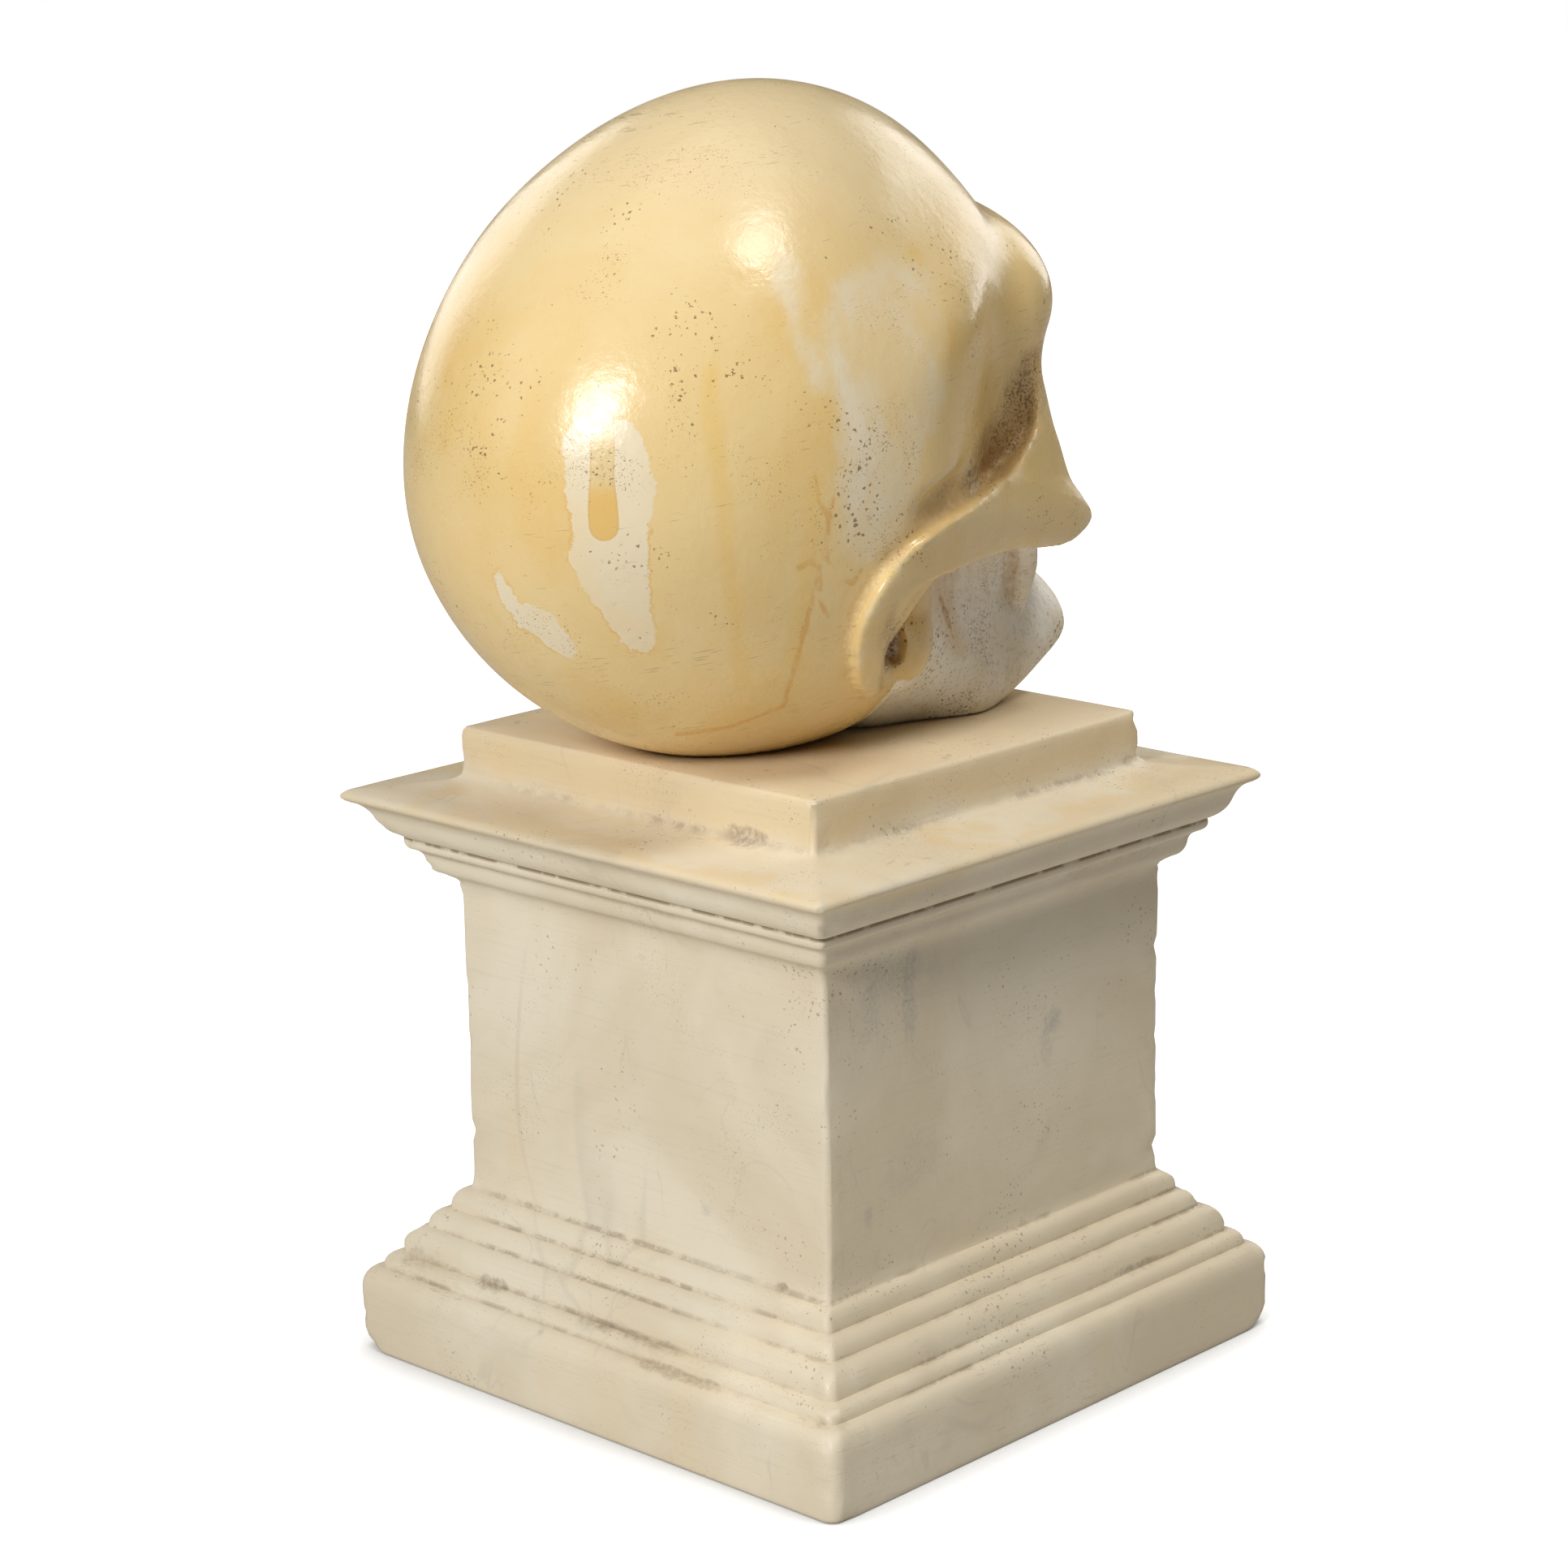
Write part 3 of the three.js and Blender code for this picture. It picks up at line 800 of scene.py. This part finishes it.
JAW_CRACK = [(29.4, 197.5), (30.6, 192), (31.5, 187.7), (33.9, 178.9), (35.7, 173.9)]
STAIN_RUNS = (
    [(-19.5, 250.2), (-20.1, 243.6), (-18.2, 233.5), (-16.9, 224.9), (-16.2, 217.8)],
    [(-17.5, 226), (-16, 205), (-14, 180)], [(2.5, 226), (0.5, 205), (-3, 185)],
    [(24.6, 271.5), (25.5, 262), (28, 250)],
)
TEMPLE_POCKET = [
    (55.3, 245.1), (50.9, 243.1), (46.7, 236.1), (43.1, 229.3), (38.2, 225.5), (34.8, 220.2),
    (36, 216.1), (40.8, 216.2), (45.9, 218), (49.2, 220.5), (52.6, 224.8), (54.3, 231.7),
]
VALLEY_FOOT = [
    (34.8, 220.2), (28.3, 218.3), (22.6, 213.2), (16.3, 206.7), (19, 206.4), (26.2, 210.6),
    (31.8, 212.7), (37.7, 214.7), (40.8, 216.2),
]
HOOK_PIT = [(19.2, 196.3), (17.1, 192.6), (16.5, 185), (17.9, 177.1), (20.3, 177.5), (21.5, 184)]
# How far the masks reach from a mark's edge, and the half-widths of two of the marks.
FAR = 12
DROP_HALF = 2.6
STREAK_HALF = 3.2
white = np.maximum(within(WHITE_RUN), within(SLANTED_PATCH))
run_away, run_along = from_line(HONEY_RUN)
drop = DROP_HALF + 0.6 * ramp(run_along, 0.5, 0.95) - run_away
worn = np.maximum(within(WORN_TEMPLE), STREAK_HALF - from_line(WORN_STREAK)[0])
lines = np.min([from_line(line)[0] for line in STAIN_LINES], 0)
runs = np.min([from_line(line)[0] for line in STAIN_RUNS], 0)
crack_away = from_line(JAW_CRACK)[0]
for name, field, rest in (("white", white, -FAR), ("drop", drop, -FAR), ("worn", worn, -FAR),
                          ("stain_line", lines, FAR), ("stain_run", runs, FAR),
                          ("jaw_crack", crack_away, FAR)):
    field = np.clip(field, -FAR, FAR)
    painted(skull, name, rest + (field - rest) * seen_side)
painted(skull, "drop_end", run_along)

# How far each point stands proud of the skin around it: sunk places are laid darker brown, and crests
# get a painted highlight.
pairs = np.empty(len(skull.data.edges) * 2, int)
skull.data.edges.foreach_get("vertices", pairs)
starts, ends = pairs.reshape(-1, 2).T
neighbours = np.bincount(np.concatenate([starts, ends]), minlength=count)[:, None]
soft = points.copy()
PROUD_ROUNDS = 60
for _ in range(PROUD_ROUNDS):
    sums = np.zeros((count, 3))
    for axis in range(3):
        sums[:, axis] = (np.bincount(starts, soft[ends, axis], count)
                         + np.bincount(ends, soft[starts, axis], count))
    soft = soft / 2 + sums / neighbours / 2
painted(skull, "proud", ((points - soft) * facing).sum(1))

# The upper jaw was left as raw white stone: all that lies below the cheek, inside it and before
# the curled end, in the skull's own level frame.
RAW_BELOW = (30, 36)
RAW_INSIDE = (-43, -39)
RAW_BEFORE = (-26, -8)
cos, sin = math.cos(FACE_TILT), math.sin(FACE_TILT)
own = (points - np.array(SKULL_CENTRE) / MM) @ np.array([(1, 0, 0), (0, cos, -sin), (0, sin, cos)])
raw = ramp(-own[:, 2], *RAW_BELOW) * ramp(-np.abs(own[:, 0]), *RAW_INSIDE)
painted(skull, "raw", raw * ramp(-own[:, 1], *RAW_BEFORE))
deep = np.maximum(within(TEMPLE_POCKET), within(HOOK_PIT))
painted(skull, "pocket", np.clip(deep, -FAR, FAR))
painted(skull, "valley", np.clip(within(VALLEY_FOOT), -FAR, FAR))

# The skull's marble: a honey patina, worn and stained in the marks that were drawn above.
HONEY_DARK = (0.82, 0.58, 0.235, 1)
HONEY_LIGHT = (0.85, 0.645, 0.315, 1)
HONEY_DEEP = (0.82, 0.53, 0.165, 1)
HONEY_UPRIGHT = (0.80, 0.53, 0.18, 1)
PALE_FLECK = (0.86, 0.75, 0.53, 1)
CROWN_SHEEN = (0.87, 0.735, 0.49, 1)
STAIN_BROAD = (0.84, 0.56, 0.155, 1)
STAIN_THIN = (0.72, 0.38, 0.075, 1)
WORN_WHITE = (0.83, 0.735, 0.55, 1)
RUN_RIM = (0.76, 0.45, 0.11, 1)
RUN_WHITE = (0.86, 0.765, 0.58, 1)
DROP_TOP = (0.79, 0.61, 0.31, 1)
DROP_END = (0.80, 0.52, 0.16, 1)
DROP_RIM = (0.62, 0.36, 0.12, 1)
RAW_CREAM = (0.90, 0.82, 0.68, 1)
RAW_WHITE = (0.98, 0.955, 0.90, 1)
RAW_CLOUD = (0.66, 0.50, 0.30, 1)
RAW_SPECK = (0.42, 0.29, 0.16, 1)
CRACK_STAIN = (0.76, 0.55, 0.27, 1)
CRACK_DEEP = (0.52, 0.28, 0.08, 1)
CREST_HIGHLIGHT = (0.87, 0.75, 0.54, 1)
SUNK_BROWN = (0.50, 0.31, 0.13, 1)
VALLEY_DIRT_AND_SHADE = (0.56, 0.35, 0.13, 1)
POCKET_DIRT_AND_SHADE = (0.44, 0.275, 0.125, 1)
GRIME = (0.15, 0.082, 0.035, 1)
PIT_BROWN = (0.20, 0.11, 0.045, 1)
SCRATCH_BROWN = (0.30, 0.19, 0.09, 1)
CROWN_FROM = 250 * MM
CROWN_TO = 305 * MM

honey_stone = bpy.data.materials.new("honey_marble")
honey_stone.use_nodes = True
tree = honey_stone.node_tree
shader = tree.nodes["Principled BSDF"]
shader.inputs["Specular IOR Level"].default_value = 0.58
place = node(tree, "TexCoord").outputs["Object"]
ragged = cloudy(tree, place, 150, 4, 0.65)
frayed = around_nothing(tree, ragged, 5)
fine = cloudy(tree, place, 720, 3, 0.7)
wobble = around_nothing(tree, cloudy(tree, place, 55, 4, 0.6), 9)
# Honey patina: deeper and paler clouds, and faint upright runs.
clouds = band(tree, cloudy(tree, place, 16, 4, 0.58, 0.5), 0.34, 0.68)
colour = tint(tree, clouds, HONEY_DARK, HONEY_LIGHT)
leaning = stretched(tree, place, (1, 1, 0.6), (0.3, 0, 0))
deeper = band(tree, cloudy(tree, leaning, 27, 3, 0.62), 0.56, 0.72)
colour = washed(tree, colour, HONEY_DEEP, deeper, 0.45)
upright = band(tree, cloudy(tree, stretched(tree, place, (1, 1, 0.12)), 75, 3, 0.6), 0.53, 0.70)
colour = washed(tree, colour, HONEY_UPRIGHT, upright, 0.22)
flecks = band(tree, cloudy(tree, stretched(tree, place, (1, 1, 0.8)), 210, 3, 0.7), 0.60, 0.72)
colour = washed(tree, colour, PALE_FLECK, flecks, 0.08)
# A painted sheen of the overhead light makes the crown paler.
high_up = shifted(tree, node(tree, "SeparateXYZ", Vector=place).outputs["Z"], wobble, 1.2 * MM)
colour = washed(tree, colour, CROWN_SHEEN, band(tree, high_up, CROWN_FROM, CROWN_TO), 0.70)
# Broad orange runs and the thin lines that outline them.
broad = band(tree, shifted(tree, read(tree, "stain_run"), wobble, 0.5), 0.4, 3.2, 1, 0)
colour = washed(tree, colour, STAIN_BROAD, broad, 0.42)
thin = maths(tree, "ABSOLUTE", shifted(tree, read(tree, "stain_line"), wobble, 0.28))
thin = product(tree, band(tree, thin, 0.12, 0.75, 1, 0), band(tree, ragged, 0.38, 0.52, 0.35, 0.9))
colour = washed(tree, colour, STAIN_THIN, thin, 0.7)
# The temple is worn whitish, with ragged edges.
worn_share = band(tree, shifted(tree, read(tree, "worn"), wobble, 1.5), -1.2, 4.5)
patches = cloudy(tree, stretched(tree, place, (1, 1, 0.55)), 46, 4, 0.62)
worn_share = product(tree, worn_share, band(tree, patches, 0.36, 0.60, 0.35, 1))
colour = washed(tree, colour, WORN_WHITE, worn_share, 0.9)
# White runs with a thin orange rim, and the honey drop that ran over one of them.
white_depth = shifted(tree, read(tree, "white"), frayed, 0.55)
white_depth = maths(tree, "ADD", white_depth, around_nothing(tree, fine, 2.6))
rim = product(tree, band(tree, white_depth, -0.62, -0.1), band(tree, white_depth, 0.0, 0.3, 1, 0),
              band(tree, cloudy(tree, place, 85, 2), 0.42, 0.6, 0.08, 0.62))
colour = washed(tree, colour, RUN_RIM, rim)
white_share = product(tree, band(tree, white_depth, -0.1, 0.35),
                      band(tree, cloudy(tree, place, 62, 3, 0.65), 0.3, 0.6, 0.52, 0.78))
colour = washed(tree, colour, RUN_WHITE, white_share)
drop_depth = shifted(tree, read(tree, "drop"), frayed, 0.10)
drop_colour = tint(tree, band(tree, read(tree, "drop_end"), 0.55, 0.8), DROP_TOP, DROP_END)
colour = washed(tree, colour, drop_colour, band(tree, drop_depth, -0.15, 0.25))
rim = product(tree, band(tree, drop_depth, -0.15, 0.05), band(tree, drop_depth, 0.1, 0.5, 1, 0))
colour = washed(tree, colour, DROP_RIM, rim, 0.35)
# Raw white jaw with brown specks, and a crack that is stained orange.
raw_share = band(tree, shifted(tree, read(tree, "raw"), frayed, 0.12), 0.4, 0.62)
clouds = band(tree, cloudy(tree, place, 34, 4, 0.66), 0.40, 0.66)
raw_colour = tint(tree, clouds, RAW_CREAM, RAW_WHITE)
clouds = band(tree, cloudy(tree, place, 60, 3, 0.7), 0.55, 0.70)
raw_colour = washed(tree, raw_colour, RAW_CLOUD, clouds, 0.32)
raw_colour = washed(tree, raw_colour, RAW_SPECK, band(tree, fine, 0.54, 0.66), 0.34)
colour = washed(tree, colour, raw_colour, raw_share)
crack = shifted(tree, read(tree, "jaw_crack"), wobble, 0.55)
colour = washed(tree, colour, CRACK_STAIN, band(tree, crack, 0.5, 4.2, 1, 0), 0.5)
crack = maths(tree, "ABSOLUTE", shifted(tree, crack, frayed, 0.2))
crack = product(tree, band(tree, crack, 0.05, 0.5, 1, 0), band(tree, fine, 0.38, 0.55, 0.25, 0.85))
colour = washed(tree, colour, CRACK_DEEP, crack)
# A pale painted highlight on the crests, brown where the skin is sunk, brown dirt with painted shade
# in the temple's pocket, the hook's pit and along the valley's foot, and dark grime in the temple and
# the hook's pit.
proud = read(tree, "proud")
# A pale painted highlight along the crests.
crest = product(tree, band(tree, proud, 0.45, 1.1), band(tree, ragged, 0.40, 0.58, 0.05, 0.34))
colour = washed(tree, colour, CREST_HIGHLIGHT, crest)
# Brown laid where the skin is sunk below its surroundings.
hollow = product(tree, band(tree, shifted(tree, proud, frayed, 0.16), -0.95, -0.25, 1, 0),
                 band(tree, fine, 0.34, 0.6, 0.35, 1))
colour = washed(tree, colour, SUNK_BROWN, hollow, 0.42)
# Brown dirt with painted shade along the valley's foot, in the temple's pocket and in the hook's pit,
# with speckled dark grime in the last two.
foot = band(tree, shifted(tree, read(tree, "valley"), wobble, 0.6), -2.5, 3)
colour = washed(tree, colour, VALLEY_DIRT_AND_SHADE, foot, 0.5)
pocket = band(tree, shifted(tree, read(tree, "pocket"), wobble, 0.5), -2.2, 2.6)
colour = washed(tree, colour, POCKET_DIRT_AND_SHADE, pocket, 0.55)
grime = product(tree, pocket, band(tree, cloudy(tree, place, 1500, 3, 0.75), 0.48, 0.56),
                band(tree, cloudy(tree, place, 120, 4, 0.7), 0.36, 0.6, 0.3, 1))
colour = washed(tree, colour, GRIME, grime, 0.85)
# Pits and scratches, most of them on worn, raw and dirty stone.
loose = largest(tree, product(tree, worn_share, 0.16), product(tree, raw_share, 0.2),
                product(tree, white_share, 0.1), product(tree, pocket, 0.5))
pits = placed(tree, pitting, Vector=place, Amount=maths(tree, "ADD", loose, 0.44))["Pits"]
turned_place = stretched(tree, place, (1, 1, 1), (0.12, -0.08, 0))
lengthened = stretched(tree, turned_place, (0.15, 0.15, 2.2))
scratches = placed(tree, pitting, Vector=lengthened, Amount=0.46)["Pits"]
colour = washed(tree, colour, PIT_BROWN, pits, 0.8)
colour = washed(tree, colour, SCRATCH_BROWN, scratches, 0.35)
tree.links.new(colour, shader.inputs["Base Color"])
dull = largest(tree, product(tree, worn_share, 0.14), product(tree, raw_share, 0.3),
               product(tree, largest(tree, grime, hollow), 0.4))
rough = band(tree, cloudy(tree, place, 70, 2, 0.6), 0.3, 0.7, 0.20, 0.30)
tree.links.new(maths(tree, "ADD", rough, dull), shader.inputs["Roughness"])
# A slow swell over the whole skull, and a grain that is strongest on the raw jaw.
grain_strength = maths(tree, "ADD", product(tree, read(tree, "raw"), 2.2), 0.7)
relief = maths(tree, "ADD", product(tree, cloudy(tree, place, 95, 2, 0.5), 1.2),
               product(tree, cloudy(tree, place, 420, 3, 0.6), grain_strength))
bump = node(tree, "Bump", Height=relief, Strength=0.5, Distance=0.3 * MM)
tree.links.new(bump.outputs["Normal"], shader.inputs["Normal"])
skull.data.materials.clear()
skull.data.materials.append(honey_stone)
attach(skull, "root")
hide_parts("skull")

# The floor and the light.
# A wide white floor that fades into a white surround, a strong soft light at the left, smaller
# warm ones overhead, and faint ones behind, before and beside the face.
FLOOR_SIZE = 60
CONTACT_SHADOW = 22 * MM
FLOOR_SEEN = (0.975, 0.975, 0.975, 1)
FLOOR_SHADOW = (0.02, 0.018, 0.015, 1)
FLOOR_GLOW = (0.09, 0.08, 0.062, 1)
SURROUND_LIGHT = (1, 0.985, 0.96, 1)
SURROUND_STRENGTH = 0.04
WHITE = (1, 1, 1)
# Each light's direction from the skull, distance, size, power and colour.
LIGHTS = {
    "left_light": ((-0.225, 0.873, 0.433), 2.0, 0.5, 26, WHITE),
    "top_light": ((-0.42, -0.033, 0.906), 1.8, 0.42, 10, (1, 0.98, 0.92)),
    "high_light": ((0, 0, 1), 2.0, 1.6, 7.5, (1, 0.93, 0.80)),
    "far_light": ((0.45, 0.75, 0.45), 2.2, 1.2, 3, WHITE),
    "front_light": ((0.1, -0.95, 0.3), 2.2, 1.2, 12, (1, 0.97, 0.91)),
    "side_light": ((0.93, -0.2, 0.3), 2.2, 1.2, 8, (1, 0.97, 0.91)),
}
LOOKED_AT = Vector((0, 0, 0.2))

bpy.ops.object.select_all(action="DESELECT")
bpy.ops.mesh.primitive_plane_add(size=FLOOR_SIZE)
floor = bpy.context.object
floor.name = "floor"
white_floor = bpy.data.materials.new("white_floor")
white_floor.use_nodes = True
tree = white_floor.node_tree
shader = tree.nodes["Principled BSDF"]
shader.inputs["Base Color"].default_value = (0.5, 0.5, 0.5, 1)
shader.inputs["Roughness"].default_value = 1
shader.inputs["Specular IOR Level"].default_value = 0
shader.inputs["Emission Strength"].default_value = 1
# The eye sees it white, with a painted contact shadow where the plinth stands, and it glows a little
# to stand in for light bounced off it.
camera_ray = node(tree, "LightPath").outputs["Is Camera Ray"]
close_by = node(tree, "AmbientOcclusion", samples=3, Distance=CONTACT_SHADOW).outputs["AO"]
seen = tint(tree, band(tree, close_by, 0.25, 0.95), FLOOR_SHADOW, FLOOR_SEEN)
tree.links.new(tint(tree, camera_ray, FLOOR_GLOW, seen), shader.inputs["Emission Color"])
floor.data.materials.append(white_floor)

for name, (direction, distance, size, power, hue) in LIGHTS.items():
    lamp = bpy.data.lights.new(name, "AREA")
    lamp.shape = "SQUARE"
    lamp.size = size
    lamp.energy = power
    lamp.color = hue
    made = bpy.data.objects.new(name, lamp)
    bpy.context.scene.collection.objects.link(made)
    away = Vector(direction).normalized()
    made.location = LOOKED_AT + away * distance
    made.rotation_mode = "QUATERNION"
    made.rotation_quaternion = away.to_track_quat("Z", "Y")

world = bpy.data.worlds.new("surround")
bpy.context.scene.world = world
world.use_nodes = True
tree = world.node_tree
surround = tree.nodes["Background"]
camera_ray = node(tree, "LightPath").outputs["Is Camera Ray"]
tree.links.new(tint(tree, camera_ray, SURROUND_LIGHT, (*WHITE, 1)), surround.inputs["Color"])
tree.links.new(band(tree, camera_ray, 0, 1, SURROUND_STRENGTH, 1), surround.inputs["Strength"])
bpy.context.scene.view_settings.view_transform = "Standard"
